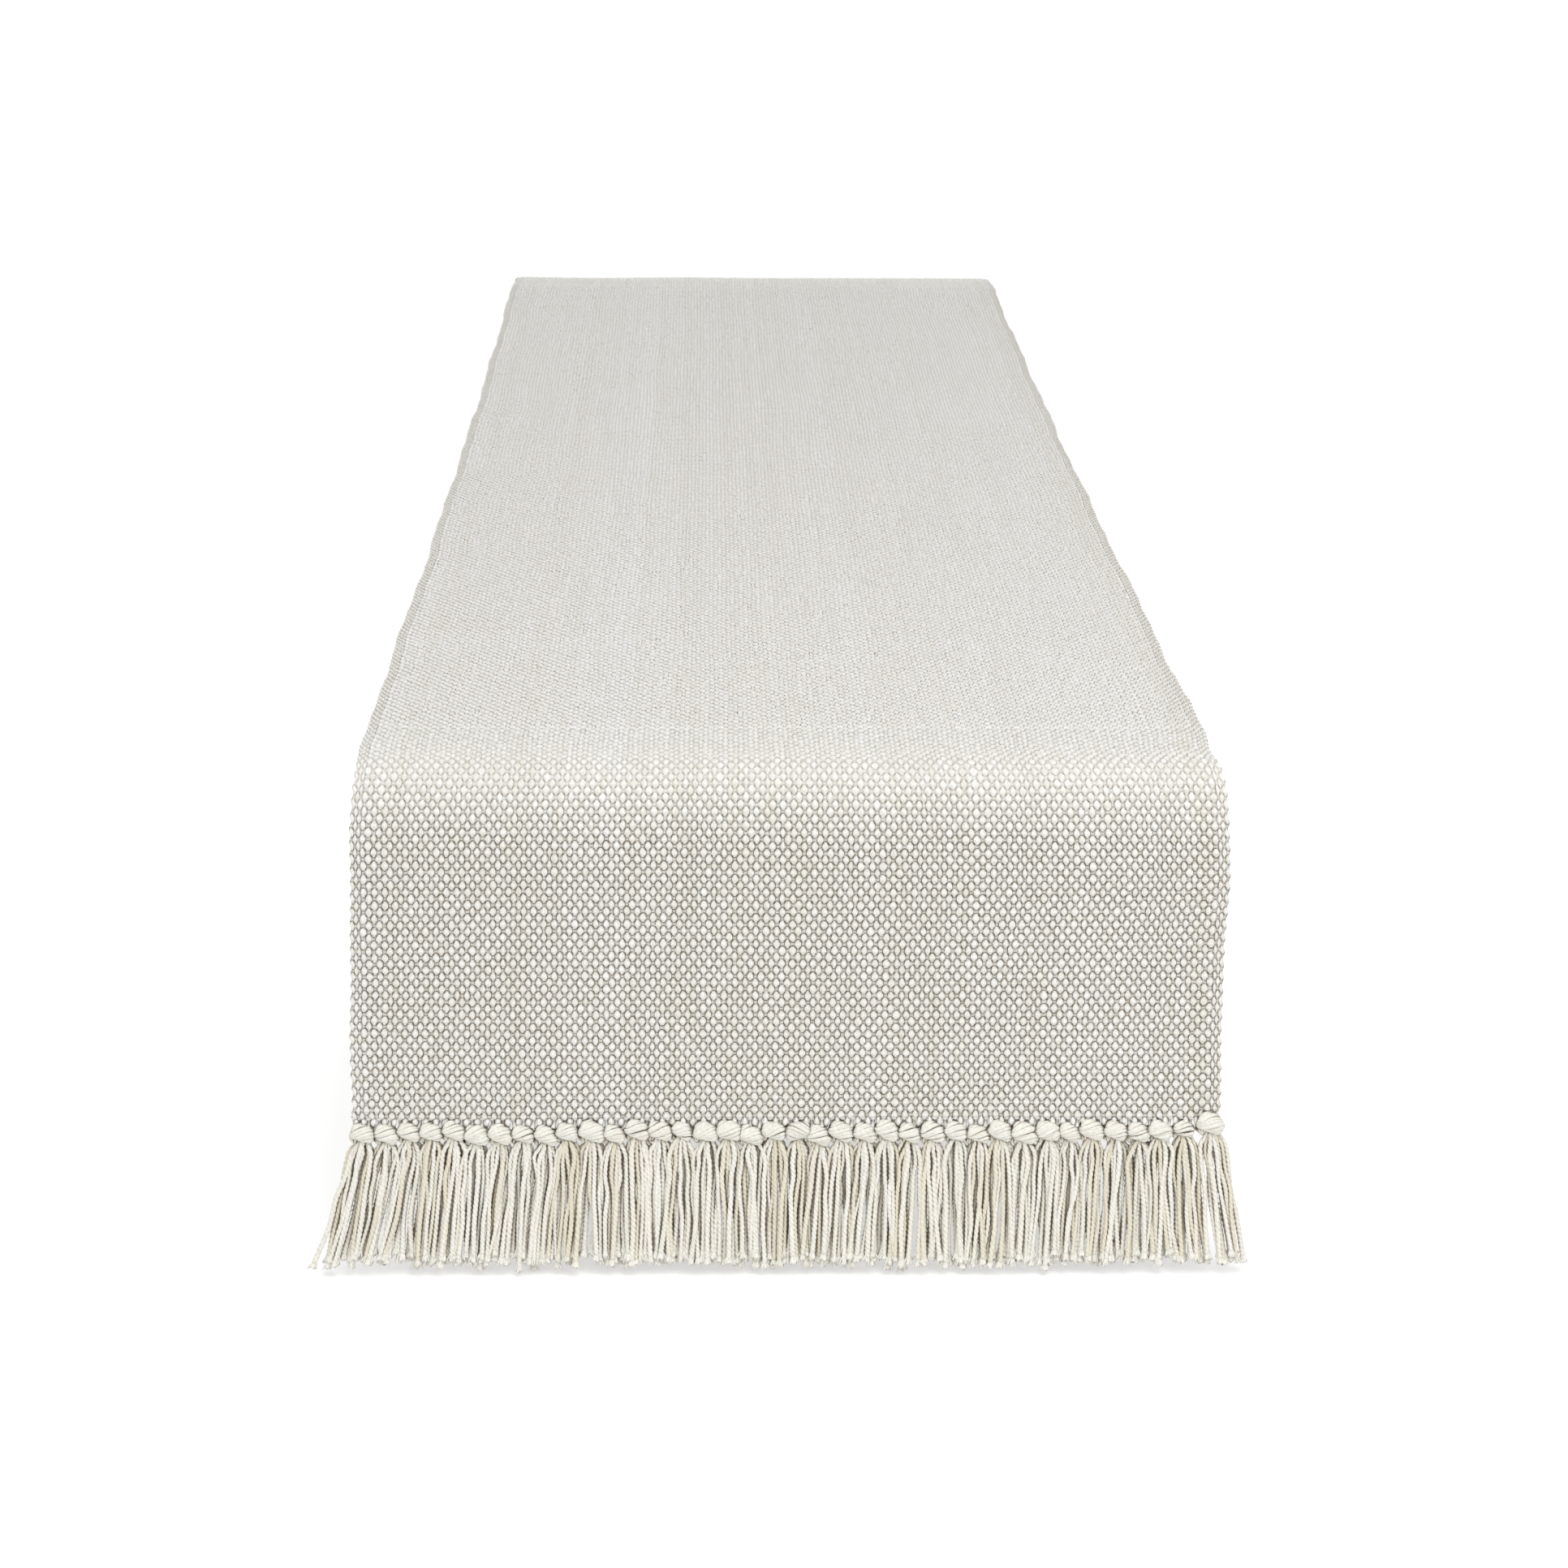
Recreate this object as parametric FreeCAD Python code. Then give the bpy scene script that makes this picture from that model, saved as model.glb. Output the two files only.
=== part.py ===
import FreeCAD, Part
import math
import os

# A hand-loomed table runner with a knotted tassel fringe at both ends, hanging as it is used: the middle
# lies flat, and each end bends over a rounded table edge and hangs straight down.
#
# Frame: millimetres, +Z up, X across the cloth, Y along it, and the front end at -Y.
# Origin: the centre of the flat underside, where the cloth rests on the table.
# Every piece of the front end is built in place. The back end is the same set turned half a turn about Z.
# Left and right of an end, and the numbers of its tassels, are as seen by someone standing at that end.

# ---- Driving dimensions ----
CLOTH_WIDTH = 381.0          # selvedge to selvedge, a 15 inch cloth
OVERALL_LENGTH = 1829.0      # laid flat, from fringe tip to fringe tip, 72 inches
CLOTH_THICKNESS = 3.0        # a plain weave of thick paired yarns
TABLE_EDGE_RADIUS = 7.0      # rounding of the table edge, which is the inside radius of each bend
DROP_LENGTH = 153.5          # straight cloth, from the end of the bend to the last row of weft
SELVEDGE_WIDTH = 4.2         # three single warp yarns at each long edge
SELVEDGE_ROUNDING = 1.3
BEND_SPLIT_DEGREES = 45.0    # the bend opens at its middle when an end is lifted
BEND_GAP = 0.25              # each half of a bend stops this far short of its middle

TASSELS = 38                 # at each end
TASSELS_IN_A_NODE = 2
WARP_END_LENGTH = 4.2        # bare warp yarns that gather from the last weft row to a knot
WARP_END_TOP_WIDTH = 9.4
WARP_END_FOOT_WIDTH = 5.6
WARP_END_THICKNESS = 2.4
KNOT_RADIUS = 4.6            # an overhand knot, wrapped around a line parallel to X
KNOT_LENGTH = 9.4
KNOT_ROUNDING = 2.6
KNOT_SEAT = 0.3              # depth of the flat on top of a knot, where its warp ends arrive
KNOT_TO_STRANDS = 0.4        # running gap between a knot and the strands that swing under it
STRAND_LENGTH = 54.9

# A bundle of strands, as (part of its length from the knot down, width in X, depth in Y).
STRAND_SECTIONS = [(0.0, 6.4, 4.6), (0.22, 9.0, 5.6), (1.0, 9.4, 5.0)]
STRAND_CORNER = 1.2          # 45 degree corner cut of every section
# How far the tip of the bundle leans out past its knot, from the outermost tassel on each side inwards.
TIP_LEANS = [12.0, 4.0, 1.5]

# ---- Derived dimensions ----
OUTER_RADIUS = TABLE_EDGE_RADIUS + CLOTH_THICKNESS
MIDDLE_RADIUS = TABLE_EDGE_RADIUS + CLOTH_THICKNESS / 2
BEND_LENGTH = math.radians(90.0) * MIDDLE_RADIUS
KNOT_HEIGHT = 2 * KNOT_RADIUS - KNOT_SEAT
END_LENGTH = BEND_LENGTH + DROP_LENGTH + WARP_END_LENGTH + KNOT_HEIGHT + KNOT_TO_STRANDS + STRAND_LENGTH
HALF_TOP = OVERALL_LENGTH / 2 - END_LENGTH
HALF_WIDTH = CLOTH_WIDTH / 2
HALF_PANEL = HALF_WIDTH - SELVEDGE_WIDTH
TASSEL_PITCH = CLOTH_WIDTH / TASSELS
BEND_TOP = -TABLE_EDGE_RADIUS
DROP_INNER_Y = -HALF_TOP - TABLE_EDGE_RADIUS
DROP_OUTER_Y = -HALF_TOP - OUTER_RADIUS
DROP_MIDDLE_Y = -HALF_TOP - MIDDLE_RADIUS
LAST_WEFT_Z = BEND_TOP - DROP_LENGTH
WARP_END_FOOT_Z = LAST_WEFT_Z - WARP_END_LENGTH
KNOT_Z = WARP_END_FOOT_Z + KNOT_SEAT - KNOT_RADIUS
STRAND_TOP_Z = KNOT_Z - KNOT_RADIUS - KNOT_TO_STRANDS
ALONG_X = FreeCAD.Vector(1, 0, 0)
ALONG_Y = FreeCAD.Vector(0, 1, 0)
UP = FreeCAD.Vector(0, 0, 1)
ORIGIN = FreeCAD.Vector(0, 0, 0)


def box(low, high):
    """A box between two opposite corners."""
    size = [high[i] - low[i] for i in range(3)]
    return Part.makeBox(size[0], size[1], size[2], FreeCAD.Vector(*low))


def prism(points, direction):
    """A flat outline, given as vectors, pushed along a vector."""
    outline = Part.makePolygon(points + [points[0]])
    return Part.Face(outline).extrude(direction)


def round_long_edges(shape, side, along):
    """Rounds the two edges of a selvedge that run along a unit vector on its outer side, -1 or +1 in X."""
    edges = []
    for edge in shape.Edges:
        middle = edge.CenterOfMass
        tangent = edge.tangentAt(edge.FirstParameter)
        if abs(tangent.dot(along)) > 0.99 and abs(middle.x - side * HALF_WIDTH) < 0.01:
            edges.append(edge)
    return shape.makeFillet(SELVEDGE_ROUNDING, edges)


def top_panel():
    """The woven cloth that lies flat on the table, without its selvedges."""
    return box((-HALF_PANEL, -HALF_TOP, 0), (HALF_PANEL, HALF_TOP, CLOTH_THICKNESS))


def top_selvedge(side):
    """The selvedge beside the flat cloth. side is -1 for the edge at -X and +1 for the edge at +X."""
    inner, outer = sorted((side * HALF_PANEL, side * HALF_WIDTH))
    strip = box((inner, -HALF_TOP, 0), (outer, HALF_TOP, CLOTH_THICKNESS))
    return round_long_edges(strip, side, ALONG_Y)


def bend_half(start_degrees, end_degrees):
    """Part of the front bend: the cloth's section, turned about the centre of the table edge's rounding."""
    centre = FreeCAD.Vector(0, -HALF_TOP, -TABLE_EDGE_RADIUS)
    corners = [
        FreeCAD.Vector(-HALF_WIDTH, -HALF_TOP, 0),
        FreeCAD.Vector(HALF_WIDTH, -HALF_TOP, 0),
        FreeCAD.Vector(HALF_WIDTH, -HALF_TOP, CLOTH_THICKNESS),
        FreeCAD.Vector(-HALF_WIDTH, -HALF_TOP, CLOTH_THICKNESS),
    ]
    section = Part.Face(Part.makePolygon(corners + [corners[0]]))
    section.rotate(centre, ALONG_X, start_degrees)
    return section.revolve(centre, ALONG_X, end_degrees - start_degrees)


def bend_gap_degrees():
    """The angle that the gap takes at the outer face, where the two halves of a bend are hinged."""
    return math.degrees(BEND_GAP / OUTER_RADIUS)


def drop_panel():
    """The woven cloth that hangs down at the front, without its selvedges."""
    return box((-HALF_PANEL, DROP_OUTER_Y, LAST_WEFT_Z), (HALF_PANEL, DROP_INNER_Y, BEND_TOP))


def drop_selvedge(side):
    """The selvedge beside the hanging cloth."""
    inner, outer = sorted((side * HALF_PANEL, side * HALF_WIDTH))
    strip = box((inner, DROP_OUTER_Y, LAST_WEFT_Z), (outer, DROP_INNER_Y, BEND_TOP))
    return round_long_edges(strip, side, UP)


def tassel_x(number):
    """The X of a front tassel's knot. Number 1 is at the left."""
    return -HALF_WIDTH + (number - 0.5) * TASSEL_PITCH


def warp_ends(number):
    """The bare warp yarns over one knot, which narrow from the last weft row down to the knot."""
    x = tassel_x(number)
    y = DROP_MIDDLE_Y - WARP_END_THICKNESS / 2
    outline = [
        FreeCAD.Vector(x - WARP_END_TOP_WIDTH / 2, y, LAST_WEFT_Z),
        FreeCAD.Vector(x + WARP_END_TOP_WIDTH / 2, y, LAST_WEFT_Z),
        FreeCAD.Vector(x + WARP_END_FOOT_WIDTH / 2, y, WARP_END_FOOT_Z),
        FreeCAD.Vector(x - WARP_END_FOOT_WIDTH / 2, y, WARP_END_FOOT_Z),
    ]
    return prism(outline, ALONG_Y * WARP_END_THICKNESS)


def knot(number):
    """One overhand knot: a short barrel with rounded rims, and a flat on top where its warp ends arrive."""
    x = tassel_x(number)
    start = FreeCAD.Vector(x - KNOT_LENGTH / 2, DROP_MIDDLE_Y, KNOT_Z)
    barrel = Part.makeCylinder(KNOT_RADIUS, KNOT_LENGTH, start, ALONG_X)
    rims = [edge for edge in barrel.Edges if isinstance(edge.Curve, Part.Circle)]
    rounded = barrel.makeFillet(KNOT_ROUNDING, rims)
    low = (x - KNOT_LENGTH, DROP_MIDDLE_Y - KNOT_RADIUS, WARP_END_FOOT_Z)
    high = (x + KNOT_LENGTH, DROP_MIDDLE_Y + KNOT_RADIUS, KNOT_Z + 2 * KNOT_RADIUS)
    return rounded.cut(box(low, high))


def lean(number):
    """How far in X the tip of a front tassel's strands leans out past its knot."""
    from_left = number - 1
    from_right = TASSELS - number
    if from_left < len(TIP_LEANS):
        return -TIP_LEANS[from_left]
    if from_right < len(TIP_LEANS):
        return TIP_LEANS[from_right]
    return 0.0


def strand_outline(x, z, width, depth):
    """A level section through a bundle of strands: a rectangle with cut corners."""
    half_width = width / 2
    half_depth = depth / 2
    corner = STRAND_CORNER
    offsets = [
        (-half_width + corner, -half_depth),
        (half_width - corner, -half_depth),
        (half_width, -half_depth + corner),
        (half_width, half_depth - corner),
        (half_width - corner, half_depth),
        (-half_width + corner, half_depth),
        (-half_width, half_depth - corner),
        (-half_width, -half_depth + corner),
    ]
    points = [FreeCAD.Vector(x + dx, DROP_MIDDLE_Y + dy, z) for dx, dy in offsets]
    return Part.makePolygon(points + [points[0]])


def strands(number):
    """The loose strands under one knot, as one closed bundle that widens below the knot."""
    outlines = []
    for part, width, depth in STRAND_SECTIONS:
        x = tassel_x(number) + part * lean(number)
        z = STRAND_TOP_Z - part * STRAND_LENGTH
        outlines.append(strand_outline(x, z, width, depth))
    return Part.makeLoft(outlines, True, True)


def turned_to_back(shape):
    """A copy of a front piece, turned half a turn about Z to the back end."""
    copy = shape.copy()
    copy.rotate(ORIGIN, UP, 180.0)
    return copy


def group(shapes):
    """One shape, or several separate solids that share a node."""
    if len(shapes) == 1:
        return shapes[0]
    return Part.makeCompound(shapes)


def middle_nodes():
    """The pieces that lie flat on the table."""
    return {
        "top_panel": top_panel(),
        "top_selvedge_left": top_selvedge(-1),
        "top_selvedge_right": top_selvedge(1),
    }


def front_end_nodes():
    """The pieces of the front end, by name without the end's own prefix."""
    middle = BEND_SPLIT_DEGREES
    gap = bend_gap_degrees()
    numbers = range(1, TASSELS + 1)
    nodes = {
        "bend_upper": bend_half(0.0, middle - gap),
        "bend_lower": bend_half(middle + gap, 90.0),
        "drop_panel": drop_panel(),
        "drop_selvedge_left": drop_selvedge(-1),
        "drop_selvedge_right": drop_selvedge(1),
        "warp_ends": group([warp_ends(number) for number in numbers]),
        "knots": group([knot(number) for number in numbers]),
    }
    for first in range(1, TASSELS + 1, TASSELS_IN_A_NODE):
        last = first + TASSELS_IN_A_NODE - 1
        name = "tassels_{:02d}_{:02d}".format(first, last)
        nodes[name] = group([strands(number) for number in range(first, last + 1)])
    return nodes


def main():
    nodes = middle_nodes()
    for name, shape in front_end_nodes().items():
        nodes["front_" + name] = shape
        nodes["back_" + name] = turned_to_back(shape)
    os.makedirs("parts", exist_ok=True)
    for name, shape in nodes.items():
        if not shape.isValid():
            raise ValueError(name + " is not a valid shape")
        shape.exportStep("parts/" + name + ".step")
        solids = len(shape.Solids)
        print("{:28s} {:3d} solids {:12.1f} mm3".format(name, solids, shape.Volume))
    print("half of the flat top {:.3f}, knots at z {:.3f}, tips at z {:.3f}".format(
        HALF_TOP, KNOT_Z, STRAND_TOP_Z - STRAND_LENGTH))


main()
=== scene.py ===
import math
import bpy
import numpy as np
from mathutils import Matrix, Vector


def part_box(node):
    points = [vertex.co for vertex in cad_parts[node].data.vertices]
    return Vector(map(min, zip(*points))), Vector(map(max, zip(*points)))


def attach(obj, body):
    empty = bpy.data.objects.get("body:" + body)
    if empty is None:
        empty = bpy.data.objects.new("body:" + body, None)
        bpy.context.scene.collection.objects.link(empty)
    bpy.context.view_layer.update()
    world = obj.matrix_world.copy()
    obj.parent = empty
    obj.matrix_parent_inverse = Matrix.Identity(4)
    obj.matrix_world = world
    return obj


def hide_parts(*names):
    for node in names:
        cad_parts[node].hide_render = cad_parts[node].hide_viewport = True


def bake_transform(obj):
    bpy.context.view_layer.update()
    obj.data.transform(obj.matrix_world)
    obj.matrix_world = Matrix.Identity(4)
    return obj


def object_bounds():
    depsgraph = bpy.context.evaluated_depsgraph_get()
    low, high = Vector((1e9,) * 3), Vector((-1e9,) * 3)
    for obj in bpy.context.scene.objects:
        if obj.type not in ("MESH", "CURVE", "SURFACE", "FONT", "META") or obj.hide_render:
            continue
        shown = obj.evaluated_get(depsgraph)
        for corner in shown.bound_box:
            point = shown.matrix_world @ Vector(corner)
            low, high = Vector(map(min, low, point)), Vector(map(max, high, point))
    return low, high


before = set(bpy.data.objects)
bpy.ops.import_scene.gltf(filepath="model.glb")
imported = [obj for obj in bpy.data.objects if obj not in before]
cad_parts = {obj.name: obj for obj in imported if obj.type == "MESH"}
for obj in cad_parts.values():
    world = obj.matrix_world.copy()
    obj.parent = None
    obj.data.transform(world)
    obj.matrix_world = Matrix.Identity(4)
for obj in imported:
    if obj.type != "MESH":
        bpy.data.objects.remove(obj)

# A hand-loomed cotton table runner, draped over a table edge at both ends, with a knotted fringe.
# Lengths are metres. The weave is real geometry: the warp yarns rise over one weft and dive under the next.

cad_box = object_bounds()
MM = 0.001

# ---- What the frame says ----
panel_low, panel_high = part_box("top_panel")
drop_low, drop_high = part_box("front_drop_panel")
knots_low, knots_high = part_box("front_knots")
edge_low, edge_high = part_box("top_selvedge_right")
HALF_TOP = panel_high.y
THICKNESS = panel_high.z - panel_low.z
DROP_Y = -(drop_low.y + drop_high.y) / 2
LAST_WEFT_Z = drop_low.z - 2.8 * MM  # the photograph's weave reaches nearer to the knots than the CAD's
HALF_WIDTH = edge_high.x
SELVEDGE = edge_high.x - edge_low.x
KNOT_RADIUS = (drop_high.y - drop_low.y) / 2 + 3.1 * MM
KNOT_Z = knots_low.z + KNOT_RADIUS
TIP_Z = cad_box[0].z
TASSELS = 38

# ---- The line that the cloth's middle follows over a table edge and down to the last weft ----
BEND_REACH = 19 * MM         # how far along the cloth most of the bend is spread
HANG_ANGLE = math.radians(92.2)
STEP = 0.25 * MM             # between the points of the line
LONGEST_HANG = 250 * MM      # the line is worked out at least this far
along_hang = np.arange(0, LONGEST_HANG, STEP)
hang_angle = HANG_ANGLE * (1 - np.exp(-(along_hang / BEND_REACH) ** 1.5))
hang_out = np.concatenate([[0], np.cumsum(np.cos(hang_angle) * STEP)[:-1]])
hang_down = np.concatenate([[0], np.cumsum(np.sin(hang_angle) * STEP)[:-1]])
HANG_LENGTH = float(np.interp(THICKNESS / 2 - LAST_WEFT_Z, hang_down, along_hang))
FLAT_HALF = DROP_Y - float(np.interp(HANG_LENGTH, along_hang, hang_out))
CLOTH_LENGTH = 2 * (FLAT_HALF + HANG_LENGTH)

# ---- The weave ----
WIDE_COLUMNS = 165           # paired warp yarns between the selvedges
NARROW_COLUMNS = 3           # single warp yarns in each selvedge
COLUMNS = WIDE_COLUMNS + 2 * NARROW_COLUMNS
ROWS = 551                   # weft picks from one fringe to the other
END_ROWS = 72                # rows in the piece that hangs at each end and goes over the bend
PICK = CLOTH_LENGTH / ROWS
WARP_RISE = 0.80 * MM        # how far a warp yarn's middle rises and dives about the cloth's middle
WARP_HALF_THICK = 0.78 * MM
WEFT_RISE = 0.10 * MM
WEFT_HALF_THICK = 0.46 * MM
WEFT_HALF_WIDE = 1.22 * MM
GAP_LEVEL = -0.30 * MM       # the bottom of the small gaps between yarns
BEAD_REACH = (0.63, 0.75)    # half a bead's size on the outer face, in columns and rows
NARROW_SCALE = 0.78          # the selvedge's single yarns against the paired ones
COARSE_HOLLOW = 0.3          # the coarser mesh on the table spreads its hollows, so the painted shade in them is weaker
DRAWN_IN = 2.4 * MM          # how far the long edges draw in at the bend
BELLY = 3.4 * MM             # how far the right edge of each end bellies out below the bend
FLARE = 1.3 * MM             # how far both long edges flare just above the fringe
FLARE_AT = 158 * MM          # and where along the hang they flare most
FLARE_REACH = 44 * MM
COARSE, FINE = 2, 4          # quads to a column and to a row, on the table and at the ends

# ---- The fringe ----
STRANDS = 6                  # in front in every tassel, and as many behind
STRAND_RADIUS = 1.10 * MM
STRAND_RINGS = 92
TWISTS = 13.0                # turns of a strand's two plies over its length
GATHER = 2.4                 # how strongly a strand's points gather towards its knot
TIP_SET = -1.2 * MM          # the strands' mean end against the bottom of the CAD's box
KNOT_HALF_LONG = 4.75 * MM
KNOT_YARN_RADIUS = 1.02 * MM
KNOT_REACH = 2.85 * MM       # from a knot's axis to the middle of its yarns
# How far the outermost tassels lean outwards, in millimetres, and how much they fan out, from the corner in.
CORNER_AT_MINUS_X = ((-9.0, 1.6), (-5.5, 1.2), (-4.5, 1.4), (-1.5, 1.1))
CORNER_AT_PLUS_X = ((13.0, 1.6), (8.0, 1.25), (4.5, 1.15), (2.0, 1.1))

# ---- Colours, linear ----
IVORY = (0.89, 0.89, 0.875)
TABLE_IVORY = (0.91, 0.91, 0.905)  # lighter, since the coarser mesh there shades darker
TABLE_ECRU = (0.84, 0.83, 0.785)
STRIP_GREY = (0.52, 0.55, 0.57)  # mixed into the finer mesh beside it, which shades lighter
ECRU = (0.82, 0.80, 0.74)
YARN_SHADE = (0.58, 0.545, 0.46)
# painted shade for the gaps, hollows and crevices between yarns
PAINTED_GAP_SHADE = (0.13, 0.097, 0.053)
# painted shades for the narrow crevices between yarns, darkest where a point sees least around it
DARK_CREVICE_SHADE = (0.12, 0.085, 0.045)
TAN_CREVICE_SHADE = (0.17, 0.125, 0.068)
KNOT_IVORY = (0.82, 0.805, 0.755)
STRAND_IVORY = (0.88, 0.865, 0.815)
IVORY_SHADE = (0.80, 0.76, 0.66)
STRAND_ECRU = (0.76, 0.71, 0.57)
FLECK = (0.13, 0.09, 0.05)


# ---------------------------------------------------------------- meshes

def new_object(name, points, quads, uv=None, values=None, flat=None):
    """A smooth mesh object of quads. uv is one pair per face corner, values holds an attribute's floats or
    vectors per point, and flat is true for the quads that stay flat, with hard edges."""
    mesh = bpy.data.meshes.new(name)
    mesh.vertices.add(len(points))
    mesh.vertices.foreach_set("co", np.asarray(points, np.float32).ravel())
    mesh.loops.add(4 * len(quads))
    mesh.loops.foreach_set("vertex_index", np.asarray(quads, np.int32).ravel())
    mesh.polygons.add(len(quads))
    mesh.polygons.foreach_set("loop_start", np.arange(0, 4 * len(quads), 4, dtype=np.int32))
    mesh.update(calc_edges=True)
    mesh.validate()
    mesh.shade_smooth()
    if flat is not None:
        mesh.polygons.foreach_set("use_smooth", ~flat)
    if uv is not None:
        layer = mesh.uv_layers.new(name="OFBake")
        layer.uv.foreach_set("vector", np.asarray(uv, np.float32).ravel())
    for key, value in (values or {}).items():
        if value.ndim == 1:
            mesh.attributes.new(key, "FLOAT", "POINT").data.foreach_set("value", value.astype(np.float32))
        else:
            mesh.attributes.new(key, "FLOAT_VECTOR", "POINT").data.foreach_set(
                "vector", value.astype(np.float32).ravel())
    piece = bpy.data.objects.new(name, mesh)
    bpy.context.scene.collection.objects.link(piece)
    return piece


def smooth_noise(rng, shape, steps):
    """Random values that change smoothly: coarse ones, one every so many places, filled in by cosines."""
    coarse = rng.normal(size=tuple(int(math.ceil(n / s)) + 2 for n, s in zip(shape, steps)))
    for axis, (count, step) in enumerate(zip(shape, steps)):
        place = np.arange(count) / step
        low = place.astype(int)
        share = (1 - np.cos(np.pi * (place - low))) / 2
        first = np.take(coarse, low, axis)
        second = np.take(coarse, low + 1, axis)
        share = share.reshape([-1 if a == axis else 1 for a in range(coarse.ndim)])
        coarse = first * (1 - share) + second * share
    return coarse


# ---------------------------------------------------------------- the cloth

rng = np.random.default_rng(7)
column_edges = np.concatenate([
    np.linspace(-HALF_WIDTH, -HALF_WIDTH + SELVEDGE, NARROW_COLUMNS + 1)[:-1],
    np.linspace(-HALF_WIDTH + SELVEDGE, HALF_WIDTH - SELVEDGE, WIDE_COLUMNS + 1)[:-1],
    np.linspace(HALF_WIDTH - SELVEDGE, HALF_WIDTH, NARROW_COLUMNS + 1),
])
column_width = np.diff(column_edges)
is_narrow = (np.arange(COLUMNS) < NARROW_COLUMNS) | (np.arange(COLUMNS) >= COLUMNS - NARROW_COLUMNS)
column_scale = np.where(is_narrow, NARROW_SCALE, 1.0)
column_sign = np.where(np.arange(COLUMNS) % 2 == 0, 1.0, -1.0)
bead_height = np.clip(rng.normal(1.0, 0.11, (COLUMNS, ROWS)), 0.7, 1.3)
bead_width = np.clip(rng.normal(1.0, 0.075, (COLUMNS, ROWS)), 0.8, 1.2)
bead_tone = rng.normal(0.0, 1.0, (COLUMNS, ROWS))
warp_wander = smooth_noise(rng, (COLUMNS + 1, ROWS + 1), (1.0, 3.0)) * 0.17 * MM
warp_drift = smooth_noise(rng, (COLUMNS + 1, ROWS + 1), (9.0, 45.0)) * 0.5 * MM
weft_wander = smooth_noise(rng, (COLUMNS + 1, ROWS + 1), (2.0, 1.0)) * 0.20 * MM
weft_drift = smooth_noise(rng, (COLUMNS + 1, ROWS + 1), (40.0, 14.0)) * 0.5 * MM
ripple = smooth_noise(rng, (COLUMNS + 1, ROWS + 1), (30.0, 36.0)) * 0.35 * MM
column_tone = (
    0.55 * rng.normal(size=COLUMNS)
    + 0.5 * smooth_noise(rng, (COLUMNS,), (3.0,))
    + 0.3 * smooth_noise(rng, (COLUMNS,), (14.0,))
)
row_tone = 0.25 * rng.normal(size=ROWS) + 0.3 * smooth_noise(rng, (ROWS,), (6.0,))


def at(table, u, v):
    """A table's value between its entries, u columns and v rows in."""
    i = np.clip(u.astype(int), 0, table.shape[0] - 2)
    j = np.clip(v.astype(int), 0, table.shape[1] - 2)
    a = u - i
    b = v - j
    return ((table[i, j] * (1 - a) + table[i + 1, j] * a) * (1 - b)
            + (table[i, j + 1] * (1 - a) + table[i + 1, j + 1] * a) * b)


def weave_level(u, v, face):
    """How far the cloth's face stands from its middle at column u and row v. face is 1 for the outer face
    and -1 for the inner one, where over and under change places."""
    near_column = np.clip(u.astype(int), 0, COLUMNS - 1)
    near_row = np.clip(v.astype(int), 0, ROWS - 1)
    level = np.full(u.shape, GAP_LEVEL)
    for step in (-1, 0, 1):
        r = np.clip(near_row + step, 0, ROWS - 1)
        away = (v - r - 0.5) * PICK / WEFT_HALF_WIDE
        side = -face * np.cos(np.pi * (u - 0.5)) * np.where(r % 2 == 0, 1.0, -1.0)
        top = WEFT_RISE * side + WEFT_HALF_THICK * np.sqrt(np.clip(1 - away**2, 0, None))
        level = np.maximum(level, np.where(np.abs(away) < 1, top, GAP_LEVEL))
    for step in (-1, 0, 1):
        c = np.clip(near_column + step, 0, COLUMNS - 1)
        scale = column_scale[c]
        side = face * np.cos(np.pi * (v - 0.5)) * column_sign[c]
        over = np.clip(side, 0, None)
        half_wide = column_width[c] * (0.34 + 0.26 * over**0.8) * bead_width[c, near_row]
        away = (u - c - 0.5) * column_width[c] / half_wide
        rise = WARP_RISE * side * np.where(side > 0, bead_height[c, near_row], 1.0)
        top = scale * (rise + WARP_HALF_THICK * np.sqrt(np.clip(1 - away**2, 0, None)))
        level = np.maximum(level, np.where(np.abs(away) < 1, top, GAP_LEVEL))
    return level


def path_point(s):
    """Where the cloth's middle is, s metres from the front's last weft: Y, Z and the outward normal."""
    end = np.where(s > CLOTH_LENGTH / 2, 1.0, -1.0)
    over_edge = HANG_LENGTH - np.minimum(s, CLOTH_LENGTH - s)
    reach = np.clip(over_edge, 0, None)
    angle = np.interp(reach, along_hang, hang_angle)
    y = FLAT_HALF + np.minimum(over_edge, 0) + np.interp(reach, along_hang, hang_out)
    z = THICKNESS / 2 - np.interp(reach, along_hang, hang_down)
    return end * y, z, end * np.sin(angle), np.cos(angle)


def half_width_share(s):
    """The cloth's half width as a share: it spreads towards the fringe and draws in on the table."""
    on_table = np.clip((s - HANG_LENGTH) / (2 * FLAT_HALF), 0, 1)
    drawn_in = 0.0195 * np.sin(np.pi * on_table) ** 0.7
    hanging = np.clip(1 - np.minimum(s, CLOTH_LENGTH - s) / HANG_LENGTH, 0, 1)
    spread = 0.005 * np.clip(hanging / 0.12, 0, 1) + 0.016 * hanging
    return 1 - drawn_in + spread


def bump(place, middle, reach):
    """A smooth rise to 1 and back, most of it within one reach on each side of its middle."""
    return np.exp(-((place - middle) / reach) ** 2)


def edge_set(s, side):
    """How far one long edge stands out from its even line. Both edges draw in at the bend and flare at the
    fringe, and the right one, seen from the nearer end, bellies out in between. side is -1 or 1 in X."""
    over_edge = HANG_LENGTH - np.minimum(s, CLOTH_LENGTH - s)
    flare = FLARE * bump(over_edge, FLARE_AT, FLARE_REACH)
    left = flare - DRAWN_IN * bump(over_edge, 12 * MM, 28 * MM)
    right = flare - DRAWN_IN * bump(over_edge, -6 * MM, 22 * MM) + BELLY * bump(over_edge, 60 * MM, 38 * MM)
    from_nearer_end = np.where(s > CLOTH_LENGTH / 2, -side, side)
    return np.where(from_nearer_end < 0, left, right)


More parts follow.
